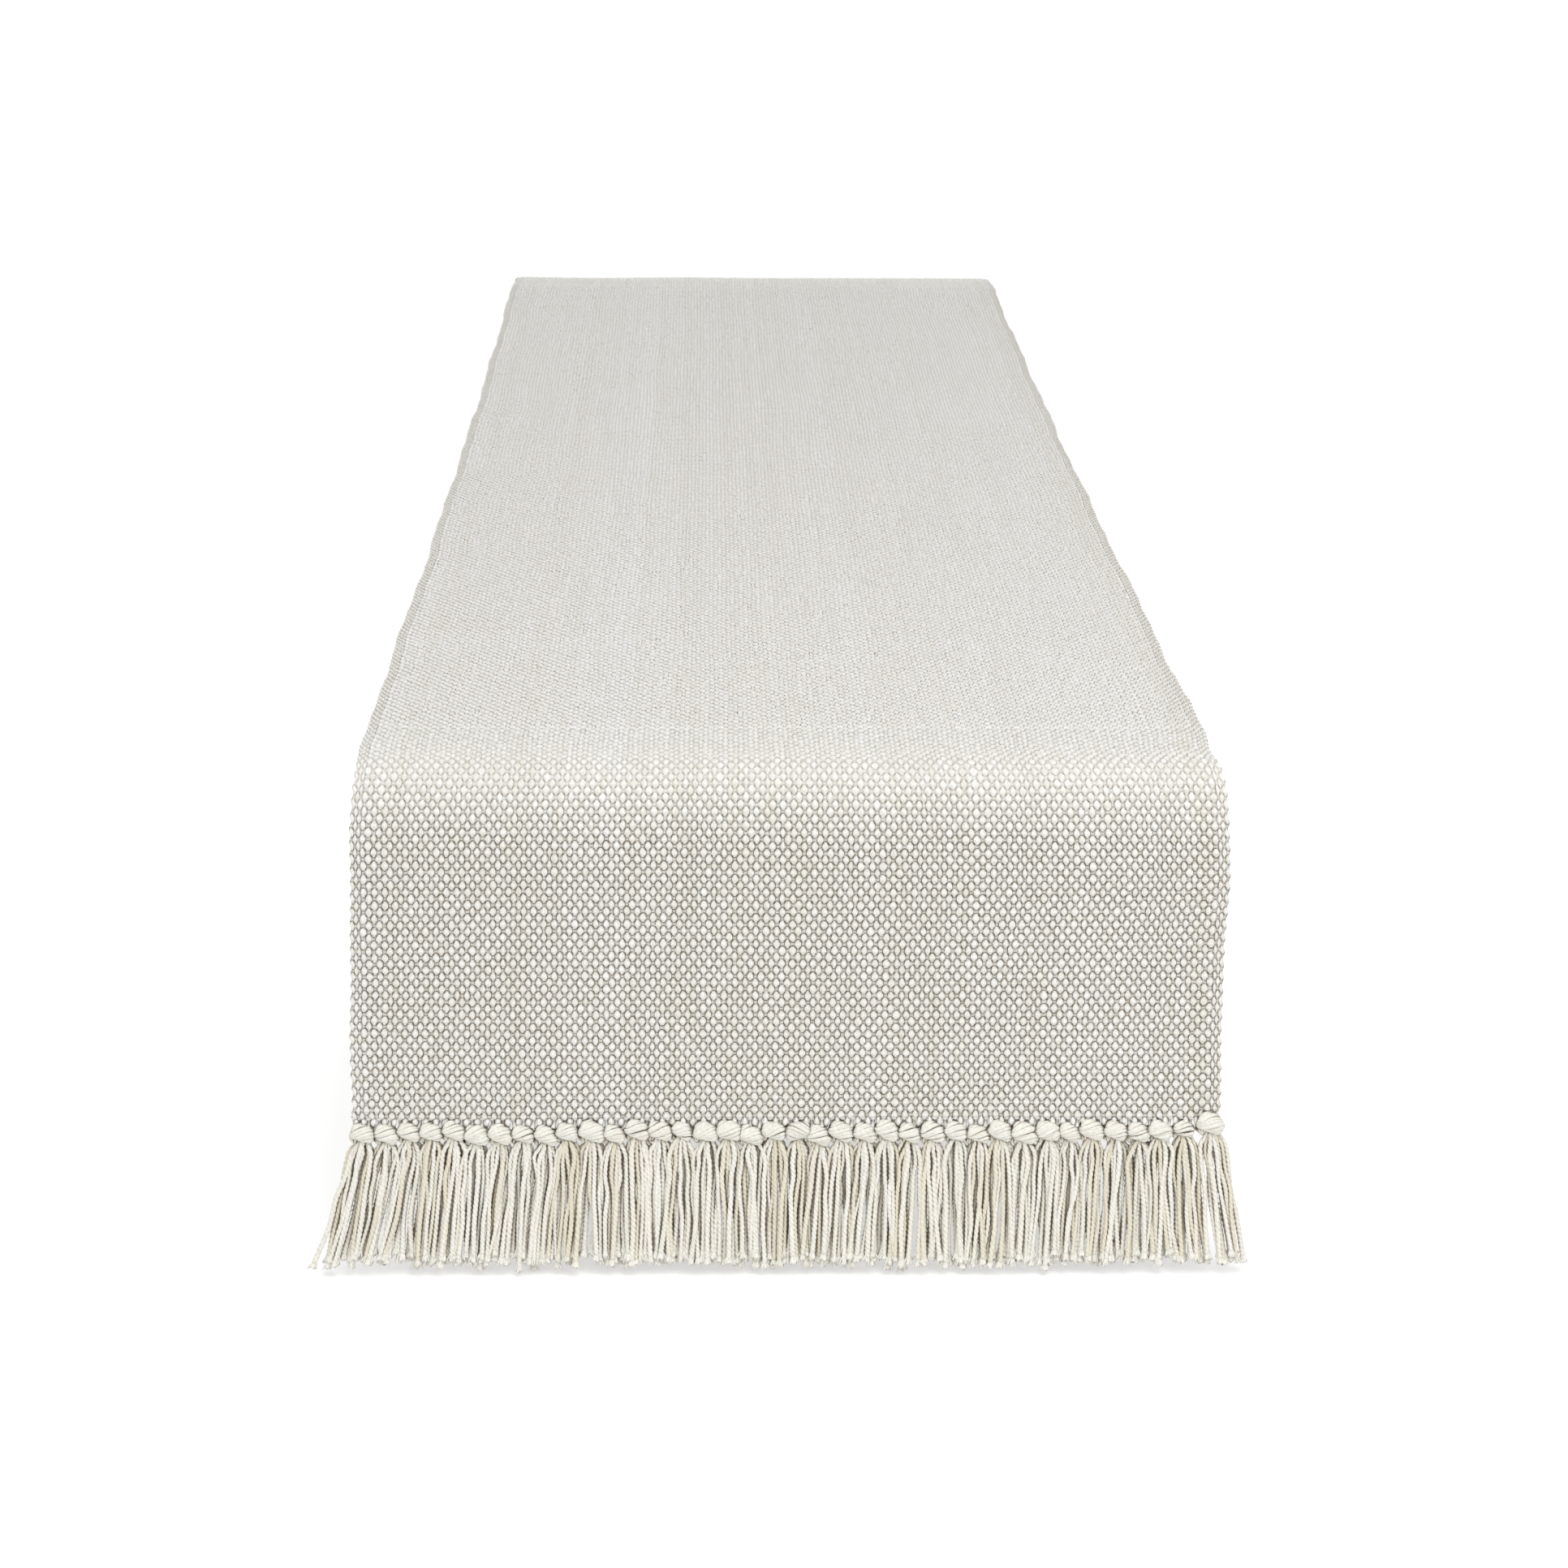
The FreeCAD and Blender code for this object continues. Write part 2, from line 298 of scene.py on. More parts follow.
def both_edges(across, s):
    """The shift in X that edge_set gives at a share across the cloth, from -1 to 1."""
    return across * np.where(across < 0, edge_set(s, -1), edge_set(s, 1))


def edge_wave(s, side):
    """The small waves of one long edge."""
    t = s / CLOTH_LENGTH
    phase = 0.7 if side < 0 else 2.1
    return 0.55 * MM * (np.sin(43 * t + phase) + 0.6 * np.sin(97 * t + 2 * phase) + 0.4 * np.sin(211 * t))


def cloth_points(u, v, level, face):
    """The place in the frame of points u columns and v rows into the cloth, level metres from its middle."""
    x = np.interp(u, np.arange(COLUMNS + 1), column_edges)
    across = x / HALF_WIDTH
    s = v * PICK
    inside = np.sin(np.pi * np.clip(v / ROWS, 0, 1)) ** 0.2
    s = s + inside * (at(weft_wander, u, v) + at(weft_drift, u, v))
    edge_free = np.clip((1 - np.abs(across)) / 0.03, 0, 1)
    x = x * half_width_share(s) + edge_free * (at(warp_wander, u, v) + at(warp_drift, u, v))
    x = x + np.clip(-across, 0, 1) ** 2 * edge_wave(s, -1) + np.clip(across, 0, 1) ** 2 * edge_wave(s, 1)
    x = x + both_edges(across, s)
    loop_side = np.where(across < 0, 0.0, 1.0)
    loop_size = 0.6 + 0.4 * at(bead_width, u * 0, v) ** 4
    scallop = 0.75 * MM * np.sin(np.pi / 2 * (v + loop_side)) ** 2 * loop_size
    x = x + np.sign(across) * np.clip((np.abs(across) - 0.990) / 0.010, 0, 1) * (scallop - 0.2 * MM)
    y, z, ny, nz = path_point(s)
    hanging = np.clip(1 - np.minimum(s, CLOTH_LENGTH - s) / HANG_LENGTH, 0, 1)
    billow = 0.8 * MM * np.sin(across * 9.0 + 1.0) * hanging * (1.2 - hanging)
    out = at(ripple, u, v) + billow + face * level
    return np.stack([x, y + ny * out, z + nz * out], -1)


def woven_piece(name, columns, rows, fine):
    """A closed stretch of cloth between two columns and two rows, with fine quads to a column and a row."""
    across = (columns[1] - columns[0]) * fine
    along = (rows[1] - rows[0]) * fine
    u1 = np.linspace(columns[0], columns[1], across + 1)
    v1 = np.linspace(rows[0], rows[1], along + 1)
    u, v = np.meshgrid(u1, v1)
    points = []
    values = {key: [] for key in ("hollow", "lattice", "crevice_shade_amount", "flat_strip", "tone", "cloth_mm")}
    tones = 0.5 + 0.17 * (column_tone[:, None] + row_tone[None, :] * 0.6 + 1.1 * bead_tone)
    for face in (1, -1):
        level = weave_level(u, v, face)
        rim = np.minimum(u, COLUMNS - u) < 1e-6
        level = np.where(rim, 0.3 * MM, level)
        join = (np.abs(u - NARROW_COLUMNS) < 1e-6) | (np.abs(u - COLUMNS + NARROW_COLUMNS) < 1e-6)
        level = np.where(join, np.maximum(level, 0.35 * MM), level)
        for row in (0, -1):
            if v1[row] in (0, ROWS):
                level[row] = np.minimum(level[row], 0.35 * MM)
            elif fine == FINE:  # match the coarser neighbour across the join
                level[row, 1::2] = (level[row, :-1:2] + level[row, 2::2]) / 2
        points.append(cloth_points(u, v, level, face).reshape(-1, 3))
        # How deep a point lies below the yarns' tops, which sets the painted shade in its hollow.
        depth = np.clip((1.0 * MM - level) / (1.2 * MM), 0, 1)
        values["hollow"].append((depth * (1.0 if fine == FINE else COARSE_HOLLOW)).ravel())
        values["lattice"].append(np.stack([u, v + (0 if face == 1 else 1), 0 * u], -1).reshape(-1, 3))
        over_edge = HANG_LENGTH - np.minimum(v, ROWS - v) * PICK
        # The painted crevice shade is strong on the table and on the hanging part, and faint in the bend,
        # where the light falls into the crevices.
        crevice_shade_amount = np.interp(over_edge, np.array([-70, -15, 14, 44]) * MM, [0.9, 0.6, 0, 1])
        values["crevice_shade_amount"].append(crevice_shade_amount.ravel())
        strip = np.interp(over_edge, np.array([-22, 22]) * MM, [1, 0])
        if fine == COARSE:
            strip[1:-1] = 0  # the coarse mesh is tinted only where it meets the finer one
        values["flat_strip"].append(strip.ravel())
        c = np.clip(u.astype(int), 0, COLUMNS - 1)
        r = np.clip(v.astype(int), 0, ROWS - 1)
        values["tone"].append(tones[c, r].ravel())
        place = np.stack([np.interp(u, np.arange(COLUMNS + 1), column_edges), v * PICK, 0 * u], -1)
        values["cloth_mm"].append(place.reshape(-1, 3) * 1000)
    wide = across + 1
    start = wide * (along + 1)
    i, j = np.meshgrid(np.arange(across), np.arange(along))
    a = (j * wide + i).ravel()
    outer = np.stack([a, a + 1, a + wide + 1, a + wide], -1)
    inner = np.stack([a, a + wide, a + wide + 1, a + 1], -1) + start
    k = np.arange(along) * wide
    left = np.stack([k, k + wide, k + wide + start, k + start], -1)
    k = k + across
    right = np.stack([k, k + start, k + wide + start, k + wide], -1)
    k = np.arange(across)
    low_end = np.stack([k, k + start, k + 1 + start, k + 1], -1)
    k = k + along * wide
    high_end = np.stack([k, k + 1, k + 1 + start, k + start], -1)
    quads = np.concatenate([outer, inner, left, right, low_end, high_end])
    # The map for baking: the outer face fills its lower half, the inner face its upper half.
    share_u = (u - columns[0]) / (columns[1] - columns[0])
    share_v = (v - rows[0]) / (rows[1] - rows[0])
    spread = np.concatenate([
        np.stack([0.004 + 0.992 * share_v, 0.004 + 0.488 * share_u], -1).reshape(-1, 2),
        np.stack([0.004 + 0.992 * share_v, 0.508 + 0.488 * share_u], -1).reshape(-1, 2),
    ])
    uv = spread[quads]
    sides = len(outer) + len(inner)
    squeezed = uv[sides:].copy()
    squeezed[:, :, 1] = np.where(squeezed[:, :, 1] > 0.5, 0.5015, 0.4985)
    uv[sides:] = squeezed
    values = {key: np.concatenate(value) for key, value in values.items()}
    walls = ((left, columns[0] > 0), (right, columns[1] < COLUMNS), (low_end, True), (high_end, True))
    flat = [np.zeros(sides, bool)] + [np.full(len(wall), is_flat) for wall, is_flat in walls]
    return new_object(name, np.concatenate(points), quads, uv, values, np.concatenate(flat))


# ---------------------------------------------------------------- yarns

def tubes(paths, refs, radii, sides, lobe, turn, tone, fold=2, frayed=0.0):
    """Many closed tubes at once, all with as many points. paths and refs are tubes x points x 3, radii and
    turn are tubes x points, lobe is how far the section is drawn out into fold plies, tone is one value a
    tube, and frayed is one value or one for every point along."""
    count, length = paths.shape[:2]
    tangent = np.gradient(paths, axis=1)
    tangent /= np.linalg.norm(tangent, axis=2, keepdims=True) + 1e-12
    one = refs - tangent * np.sum(refs * tangent, 2, keepdims=True)
    one /= np.linalg.norm(one, axis=2, keepdims=True) + 1e-12
    two = np.cross(tangent, one)
    angle = np.arange(sides) * 2 * np.pi / sides
    bulge = 1 + lobe * np.cos(fold * angle)
    turned = angle[None, None, :] + turn[:, :, None]
    reach = radii[:, :, None] * bulge[None, None, :]
    outward = np.cos(turned)[..., None] * one[:, :, None, :] + np.sin(turned)[..., None] * two[:, :, None, :]
    points = paths[:, :, None, :] + reach[..., None] * outward
    base = (np.arange(count) * length * sides)[:, None, None]
    ring = (np.arange(length - 1) * sides)[None, :, None]
    k = np.arange(sides)[None, None, :]
    after = (k + 1) % sides
    low = base + ring
    high = low + sides
    quads = np.stack([low + k, low + after, high + after, high + k], -1)
    round_share = 0.05 + 0.9 * (k[..., None] + np.array([0, 1, 1, 0])) / sides
    along_share = (np.arange(length - 1)[None, :, None, None] + np.array([0, 0, 1, 1])) / (length - 1)
    tube_u = (np.arange(count)[:, None, None, None] + round_share) / count
    cells = np.stack(np.broadcast_arrays(tube_u, 0.03 + 0.94 * along_share), -1)
    caps, cap_uv = [], []
    for end, flip in ((0, True), (length - 1, False)):
        for step in range(sides // 2 - 1):
            corner = np.array([step, step + 1, sides - 2 - step, sides - 1 - step])
            if flip:
                corner = corner[::-1]
            caps.append(base[:, 0, 0][:, None] + end * sides + corner[None, :])
            middle = (np.arange(count)[:, None] + 0.5) / count
            spot = np.stack([middle + 0.3 / count * np.cos(angle[corner]),
                             (0.985 if end else 0.015) + 0.01 * np.sin(angle[corner]) + 0 * middle], -1)
            cap_uv.append(spot)
    quads = np.concatenate([quads.reshape(-1, 4)] + caps)
    uv = np.concatenate([cells.reshape(-1, 4, 2)] + cap_uv)
    each = points.shape[:3]
    # The grooves between the plies get the painted shade of the hollows.
    groove = np.broadcast_to(0.5 - 0.5 * np.cos(fold * angle)[None, None, :], each)
    values = {
        "hollow": (groove * min(1.0, lobe * 4)).ravel(),
        "tone": np.broadcast_to(np.asarray(tone)[:, None, None], each).ravel(),
        "frayed": np.broadcast_to(np.reshape(frayed, (1, -1, 1)), each).ravel(),
        "cloth_mm": points.reshape(-1, 3) * 1000,
    }
    return points.reshape(-1, 3), quads, uv, values


def joined(parts):
    """Several results of tubes() as one, each part in its own strip of the map for baking."""
    points, quads, uv, values, start = [], [], [], {}, 0
    for n, (p, q, w, v) in enumerate(parts):
        points.append(p)
        quads.append(q + start)
        strip = w.copy()
        strip[..., 0] = (n + strip[..., 0]) / len(parts)
        uv.append(strip)
        for key, value in v.items():
            values.setdefault(key, []).append(value)
        start += len(p)
    return (np.concatenate(points), np.concatenate(quads), np.concatenate(uv),
            {key: np.concatenate(value) for key, value in values.items()})


def spline(controls, count, gather=0.0):
    """Points along a smooth curve through control points: tubes x controls x 3 to tubes x count x 3. A
    positive gather is for controls that lie closer together towards the start, as gathered() places them."""
    n = controls.shape[1]
    padded = np.concatenate([
        2 * controls[:, :1] - controls[:, 1:2], controls, 2 * controls[:, -1:] - controls[:, -2:-1]], 1)
    share = np.linspace(0, 1, count)
    if gather:
        share = np.log1p(share * math.expm1(gather)) / gather
    place = share * (n - 1)
    i = np.minimum(place.astype(int), n - 2)
    t = (place - i)[None, :, None]
    p0, p1, p2, p3 = (padded[:, i + k] for k in range(4))
    return 0.5 * (2 * p1 + (p2 - p0) * t + (2 * p0 - 5 * p1 + 4 * p2 - p3) * t**2
                  + (3 * p1 - p0 - 3 * p2 + p3) * t**3)


def gathered(count, gather):
    """Shares of a length, from 0 to 1, that lie closer together towards the start."""
    return np.expm1(np.linspace(0, gather, count)) / math.expm1(gather)


class Fringe:
    """The random shape of one end's fringe, built as if it were the front one."""

    def __init__(self, seed):
        self.rng = np.random.default_rng(seed)
        bottom = HALF_WIDTH * float(half_width_share(np.array(0.0)))
        self.pitch = 2 * bottom / TASSELS
        n = np.arange(TASSELS)
        draw = self.rng.normal
        self.x = -bottom + (n + 0.5) * self.pitch + np.clip(draw(size=TASSELS), -2, 2) * 0.3 * MM
        self.z = KNOT_Z - 0.2 * MM + np.clip(draw(size=TASSELS), -1.6, 1.6) * 0.95 * MM
        self.y = -DROP_Y + np.clip(draw(size=TASSELS), -2, 2) * 0.3 * MM
        self.tilt = np.radians(np.where(self.rng.random(TASSELS) < 0.93, -1, 1)
                               * self.rng.uniform(16, 34, TASSELS))
        self.size = np.clip(draw(1.09, 0.06, TASSELS), 0.97, 1.2)
        across = self.x / bottom
        self.x += both_edges(across, 0.0)
        self.z[-1] += 2.6 * MM  # the corner knot is tied higher and fatter than its neighbours
        self.x[-1] += 1.6 * MM
        self.size[-1] = 1.22
        drift = smooth_noise(self.rng, (TASSELS,), (2.2,)) * 1.2
        self.lean = (drift - 0.6 - 3.4 * np.clip(-1.8 * across, 0, 1)) * MM
        self.fan = np.full(TASSELS, 1.08)
        for k, (lean, fan) in enumerate(CORNER_AT_MINUS_X):
            self.lean[k] += lean * MM
            self.fan[k] = fan
        for k, (lean, fan) in enumerate(CORNER_AT_PLUS_X):
            self.lean[-1 - k] += lean * MM
            self.fan[-1 - k] = fan
        self.long = np.clip(draw(size=TASSELS), -1.5, 1.5) * 1.0 * MM

    def knot(self, n):
        """One overhand knot: a fat rope-like turn of yarns across the front, and a smaller one behind it."""
        parts = []
        rings = 21
        t = np.linspace(-1, 1, rings)[None, :]
        side = -np.sign(self.tilt[n])
        for yarns, share, steeper, shift, tan in (
            (12, 1.0, 1.0, (0.0, -0.9, 0.0), 0.2),
            # The smaller turn behind gets a darker mean tone: painted shade, since it lies in the shade of
            # the front turn.
            (8, 0.66, -1.9, (-2.9 * side, 1.0, -2.3), 0.75),
        ):
            size = self.size[n] * share
            tilt = self.tilt[n] * steeper
            centre = np.array([self.x[n], self.y[n], self.z[n]]) + np.array(shift) * MM
            axis = np.array([math.cos(tilt), 0, math.sin(tilt)])
            up = np.array([-math.sin(tilt), 0, math.cos(tilt)])
            front = np.array([0.0, -1.0, 0.0])
            start = self.rng.random() + np.arange(yarns)[:, None]
            wobble = self.rng.normal(0, 0.13, (yarns, 1)) + self.rng.normal(0, 0.14, (yarns, 1)) * t**2
            angle = start * 2 * np.pi / yarns + side * self.rng.uniform(1.6, 2.1) * t + wobble
            reach = KNOT_REACH * size * np.clip(1 - (0.97 * t) ** 2, 0.0, 1) ** 0.42
            reach = reach * (1 + self.rng.normal(0, 0.05, (yarns, 1))) * (1 - 0.14 * side * t)
            radial = np.cos(angle)[..., None] * front * 1.08 + np.sin(angle)[..., None] * up
            bow = -1.1 * MM * size * t**2
            paths = (centre + axis * (KNOT_HALF_LONG * size * np.sin(t * 1.4))[..., None]
                     + up * bow[..., None] + radial * reach[..., None])
            radii = KNOT_YARN_RADIUS * size * (1 - 0.45 * t**6) * self.rng.uniform(0.88, 1.12, (yarns, 1))
            tone = np.clip(self.rng.normal(tan, 0.16, yarns), 0, 1)
            turn = np.linspace(0, 7.0, rings)[None, :] + self.rng.random((yarns, 1)) * 6
            parts.append(tubes(paths, radial, radii, 8, 0.06, turn, tone))
        return joined(parts)

    def warp_ends(self):
        """The bare yarns under the last weft, one tube to a column. They carry the weave on, one bead to
        every second column, and then gather into the knots."""
        rng = self.rng
        lowest = -1.45  # in picks, from inside the cloth down to inside the knots
        rows = np.linspace(0.35, lowest, 11)[None, :]
        middles = (column_edges[:-1] + column_edges[1:]) / 2
        across = middles / HALF_WIDTH
        x = middles * float(half_width_share(np.array(0.0)))
        x = x + both_edges(across, 0.0)
        home = np.clip(((x - x[0]) / (x[-1] - x[0]) * TASSELS).astype(int), 0, TASSELS - 1)
        down = np.clip(rows / lowest, 0, 1)
        stray = rng.normal(0, 0.12, (COLUMNS, 1)) * MM * down
        x = x[:, None] + (self.x[home] - x)[:, None] * 0.16 * down**1.4 + stray
        over = np.cos(np.pi * (rows - 0.5)) * column_sign[:, None]
        scale = column_scale[:, None]
        y = -DROP_Y - scale * over * 0.75 * MM
        z = LAST_WEFT_Z + rows * PICK + rng.normal(0, 0.25, (COLUMNS, 1)) * MM * down
        paths = np.stack([x, y + 0 * z, z], -1)
        refs = np.broadcast_to(np.array([1.0, 0, 0]), paths.shape)
        radii = scale * (1.0 + 0.3 * np.clip(over, 0, 1) ** 0.8) * MM * rng.uniform(0.9, 1.08, (COLUMNS, 1))
        turn = 3.0 * down + rng.random((COLUMNS, 1)) * 6
        tone = np.clip(0.5 + 0.17 * (column_tone + rng.normal(size=COLUMNS)), 0, 1)
        return tubes(paths, refs, radii, 10, 0.06, turn, tone)

    def tassel(self, n):
        """The loose two-ply strands under one knot, with their frayed ends."""
        rng = self.rng
        strands = 2 * STRANDS
        row = np.where(np.arange(strands) < STRANDS, 0, 1)  # 0 in front, 1 behind
        place = np.tile(np.linspace(-1, 1, STRANDS), 2)
        place = place + rng.normal(0, 0.07, strands) + np.where(row == 1, 0.12, 0)
        deep = np.where(row == 0, -1.1, 1.1) * MM + rng.normal(0, 0.35, strands) * MM
        deep *= np.where(np.abs(place) > 0.8, 0.6, 1.0)
        wide = 0.5 * self.pitch - 0.7 * MM
        top = self.z[n] - 1.6 * MM
        tip = TIP_Z + TIP_SET + self.long[n] + np.clip(rng.normal(size=strands), -2, 2) * 1.3 * MM
        tip += np.where(rng.random(strands) < 0.06, -3.0, 0.0) * MM
        shares = gathered(9, GATHER)
        outs = np.interp(shares, [0, 0.035, 0.082, 0.146, 0.232, 0.5, 0.8, 1.0],
                         [0.22, 0.34, 0.60, 0.96, 1.08, 1.02, 1.0, 1.04])
        depths = np.interp(shares, [0, 0.06, 0.14, 0.3, 1.0], [0.5, 1.3, 1.5, 1.25, 1.0])
        step = np.diff(shares, prepend=0) ** 0.5
        sway = np.cumsum(rng.normal(0, 1.0, (strands, len(shares))) * step, 1) * 1.6 * MM
        wander = place[:, None] + rng.normal(0, 0.24, (strands, 1)) * shares
        fan = 1 + (self.fan[n] - 1) * shares**1.3
        x = self.x[n] + wide * wander * outs * fan + self.lean[n] * shares**1.15 + sway
        y = self.y[n] - 0.2 * MM + deep[:, None] * depths + 0.5 * sway[::-1]
        z = top + (tip[:, None] - top) * shares
        rings = STRAND_RINGS
        paths = spline(np.stack([x, y, z], -1), rings, GATHER)
        refs = np.broadcast_to(np.array([1.0, 0, 0]), paths.shape)
        t = np.linspace(0, 1, rings)[None, :]
        swell = (1 + 0.05 * np.sin(9 * t + rng.random((strands, 1)) * 6)) * np.clip(0.72 + 2.2 * t, 0, 1)
        radii = STRAND_RADIUS * rng.uniform(0.88, 1.12, (strands, 1)) * (1 + 0.14 * row[:, None]) * swell
        turn = -2 * np.pi * TWISTS * t * rng.uniform(0.85, 1.1, (strands, 1)) + rng.random((strands, 1)) * 6
        is_tan = rng.random(strands) < 0.3
        tone = np.where(is_tan, rng.uniform(0.6, 1.0, strands), rng.uniform(0.0, 0.35, strands))
        # Strands behind get a darker tone: painted shade, since they lie behind the front row.
        tone = np.clip(tone + 0.15 * row, 0, 1)
        loose = 0.8 * np.clip((t[0] - 0.9) / 0.08, 0, 1)
        strand_part = tubes(paths, refs, radii, 8, 0.13, turn, tone, frayed=loose)
        return joined([strand_part] + self.frayed(paths, radii[:, -1], tone))

    def frayed(self, paths, radius, tone):
        """The untwisted end of every strand: a tuft that flares like a brush, and a few stray wisps."""
        rng = self.rng
        strands = len(paths)
        end, back = paths[:, -1], paths[:, -4]
        down = end - back
        down /= np.linalg.norm(down, axis=1, keepdims=True)
        length = rng.uniform(2.6, 3.8, strands) * MM
        rings, sides, fold = 5, 14, 4
        along = np.linspace(-0.25, 1, rings)
        tuft_paths = end[:, None] + down[:, None] * (length[:, None] * along)[..., None]
        refs = np.broadcast_to(np.array([1.0, 0.0, 0]), tuft_paths.shape)
        flare = rng.uniform(0.3, 0.8, (strands, 1))
        radii = radius[:, None] * (0.8 + 0.12 * along + flare * np.clip(along, 0, 1) ** 1.4)
        turn = rng.random((strands, 1)) * 6 + 0.5 * along[None, :]
        tufts = tubes(tuft_paths, refs, radii, sides, 0.14, turn, tone * 0.2, fold, 0.8)
        ragged = tufts[0].reshape(strands, rings, sides, 3)
        ragged[:, -1] += down[:, None] * rng.uniform(-0.8, 0.3, (strands, sides, 1)) * MM
        ragged[:, -2] += down[:, None] * rng.uniform(-0.3, 0.1, (strands, sides, 1)) * MM

        wisps = 4
        end, back, down = (np.repeat(value, wisps, 0) for value in (end, back, down))
        angle = rng.random(strands * wisps) * 2 * np.pi
        side = np.stack([np.cos(angle), 0.8 * np.sin(angle), 0 * angle], -1)
        size = np.repeat(radius, wisps)[:, None]
        reach = np.repeat(length, wisps)[:, None] * rng.uniform(0.8, 1.25, (strands * wisps, 1))
        spread = rng.uniform(0.9, 1.7, (strands * wisps, 1))
        bends = [back + side * size * 0.4, end + side * size * 0.7,
                 end + down * reach * 0.5 + side * size * (0.6 + 0.5 * spread),
                 end + down * reach + side * size * (0.6 + 0.9 * spread)]
        wisp_paths = spline(np.stack(bends, 1), 6)
        refs = np.broadcast_to(np.array([1.0, 0.3, 0]), wisp_paths.shape)
        radii = size * (0.48 - 0.14 * np.linspace(0, 1, 6)[None, :] ** 2)
        turn = np.zeros((strands * wisps, 6))
        wisp_part = tubes(wisp_paths, refs, radii, 4, 0.0, turn, np.repeat(tone * 0.2, wisps), frayed=0.8)
        return [tufts, wisp_part]


# ---------------------------------------------------------------- materials

def node(tree, kind, **settings):
    """A new shader node with its settings."""
    made = tree.nodes.new(kind)
    for key, value in settings.items():
        setattr(made, key, value)
    return made


def mixed(tree, factor, one, two, blend="MIX"):
    """The Color socket of a Mix node between two colours, each a socket or a plain colour."""
    mix = node(tree, "ShaderNodeMix", data_type="RGBA", blend_type=blend)
    for socket, value in ((mix.inputs["Factor"], factor), (mix.inputs[6], one), (mix.inputs[7], two)):
        if isinstance(value, bpy.types.NodeSocket):
            tree.links.new(value, socket)
        elif isinstance(value, tuple):
            socket.default_value = (*value, 1.0)
        else:
            socket.default_value = value
    return mix.outputs[2]


def ranged(tree, value, low, high, new_low, new_high):
    """A value carried from one range to another, and kept inside it."""
    made = node(tree, "ShaderNodeMapRange")
    tree.links.new(value, made.inputs[0])
    for k, number in enumerate((low, high, new_low, new_high)):
        made.inputs[k + 1].default_value = number
    return made.outputs[0]


def noise(tree, place, scale, detail=2.0, stretch=(1, 1, 1)):
    """A noise pattern over a stretched place, scale times to the unit."""
    mapping = node(tree, "ShaderNodeMapping")
    mapping.inputs["Scale"].default_value = stretch
    tree.links.new(place, mapping.inputs["Vector"])
    made = node(tree, "ShaderNodeTexNoise")
    made.inputs["Scale"].default_value = scale
    made.inputs["Detail"].default_value = detail
    tree.links.new(mapping.outputs[0], made.inputs["Vector"])
    return made.outputs["Fac"]


def attribute(tree, name, output="Fac"):
    """A mesh attribute's value."""
    return node(tree, "ShaderNodeAttribute", attribute_name=name).outputs[output]


def dot(tree, vector, towards):
    """The dot product of a vector and a plain direction."""
    made = node(tree, "ShaderNodeVectorMath", operation="DOT_PRODUCT")
    tree.links.new(vector, made.inputs[0])
    made.inputs[1].default_value = towards
    return made.outputs["Value"]


def maths(tree, operation, one, two=0.0):
    """One step of arithmetic on sockets or plain numbers."""
    made = node(tree, "ShaderNodeMath", operation=operation)
    for socket, value in zip(made.inputs, (one, two)):
        if isinstance(value, bpy.types.NodeSocket):
            tree.links.new(value, socket)
        else:
            socket.default_value = value
    return made.outputs[0]


def bead_crevice_shade(tree):
    """How far a point of the cloth lies in the crevice round a bead, for the painted shade there: 0 on a
    bead, up to 1 in the crevice, and in between on the bits of weft. Beads stand in a centred lattice, one to
    every second column and row."""
    place = attribute(tree, "lattice", "Vector")
    ripple = node(tree, "ShaderNodeTexNoise", noise_dimensions="2D")
    ripple.inputs["Scale"].default_value = 0.9
    tree.links.new(place, ripple.inputs["Vector"])

    falling = maths(tree, "FRACT", dot(tree, place, (0.5, 0.5, 0)))
    rising = maths(tree, "FRACT", maths(tree, "ADD", dot(tree, place, (0.5, -0.5, 0)), 0.5))
    sideways = maths(tree, "SUBTRACT", maths(tree, "ADD", falling, rising), 1.0)
    columns = maths(tree, "DIVIDE", sideways, BEAD_REACH[0])
    rows = maths(tree, "DIVIDE", maths(tree, "SUBTRACT", falling, rising), BEAD_REACH[1])
    column_squares = maths(tree, "MULTIPLY", columns, columns)
    squares = maths(tree, "ADD", column_squares, maths(tree, "MULTIPLY", rows, rows))
    uneven = ranged(tree, ripple.outputs["Fac"], 0.3, 0.7, -0.09, 0.09)
    away = maths(tree, "ADD", maths(tree, "SQRT", squares), uneven)
    rise = ranged(tree, away, 0.87, 0.98, 0.0, 1.0)
    fall = ranged(tree, away, 1.05, 1.25, 1.0, 0.18)
    patchy = node(tree, "ShaderNodeTexNoise", noise_dimensions="2D")
    patchy.inputs["Scale"].default_value = 1.7
    tree.links.new(place, patchy.inputs["Vector"])
    patches = ranged(tree, patchy.outputs["Fac"], 0.36, 0.56, 0.4, 1.0)
    line = maths(tree, "MULTIPLY", maths(tree, "MULTIPLY", rise, fall), patches)
    return maths(tree, "MULTIPLY", line, crevice_shade_weight(tree))


def crevice_shade_weight(tree):
    """How strongly the painted crevice shade shows: it is faint over the table's edge, where the light falls
    into the crevices.
    """
    return ranged(tree, attribute(tree, "crevice_shade_amount"), 0.0, 1.0, 0.4, 1.0)


